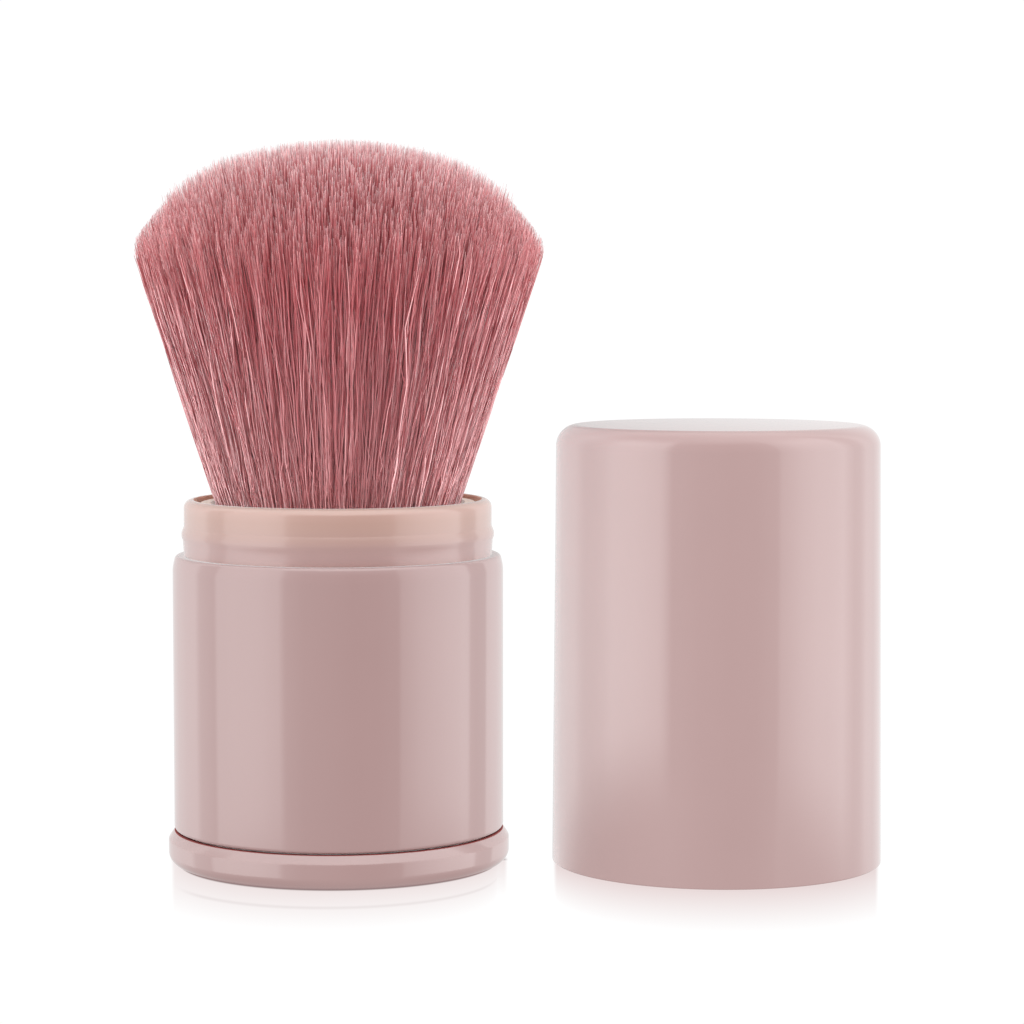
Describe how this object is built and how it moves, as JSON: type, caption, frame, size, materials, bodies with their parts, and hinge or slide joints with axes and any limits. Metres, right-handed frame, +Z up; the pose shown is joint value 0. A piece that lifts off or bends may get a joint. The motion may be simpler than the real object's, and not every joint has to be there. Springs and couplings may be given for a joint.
{
  "type": "retractable makeup brush",
  "caption": "Domed makeup brush whose round sleeve slides up over its bristles, with a straight cap standing beside it.",
  "frame": {"origin": "centre of the brush's foot, on the plane that it stands on", "axes": "+Z up along the brush's axis, +X towards the cap that stands beside it"},
  "size_m": [0.0816, 0.0447, 0.0785],
  "materials": {
    "pink_gloss": "glossy dusty pink moulding",
    "peach_plastic": "semi-gloss peach moulding",
    "cream_plastic": "satin cream moulding",
    "white_plastic": "plain moulding",
    "band_rubber": "matt elastomer",
    "ferrule_aluminium": "drawn, satin",
    "slug_steel": "plain pressed steel",
    "amber_resin": "cured glue",
    "rose_fibre": "fine rose filaments, paler at their tips"
  },
  "bodies": {
    "carriage": {"base_cover": "pink_gloss", "base_plug": "white_plastic", "plunger_tube": "peach_plastic", "weight_slug": "slug_steel", "slug_retainer": "white_plastic", "brush_seat": "cream_plastic", "friction_band_lower": "band_rubber", "friction_band_upper": "band_rubber", "ferrule": "ferrule_aluminium", "resin_plug": "amber_resin", "bristle_tuft": "rose_fibre"},
    "sleeve": {"outer_shell": "pink_gloss", "neck_liner": "peach_plastic", "stop_ring": "white_plastic"},
    "cap": {"cap_shell": "pink_gloss"}
  },
  "joints": [
    {"name": "sleeve_slide", "type": "slide", "parent": "carriage", "child": "sleeve", "axis": [0, 0, 1], "range_m": [0, 0.02], "deforming": ["bristle_tuft"]},
    {"name": "cap_lift", "type": "slide", "parent": "carriage", "child": "cap", "axis": [0, 0, 1], "range_m": [0, 0.045]}
  ]
}
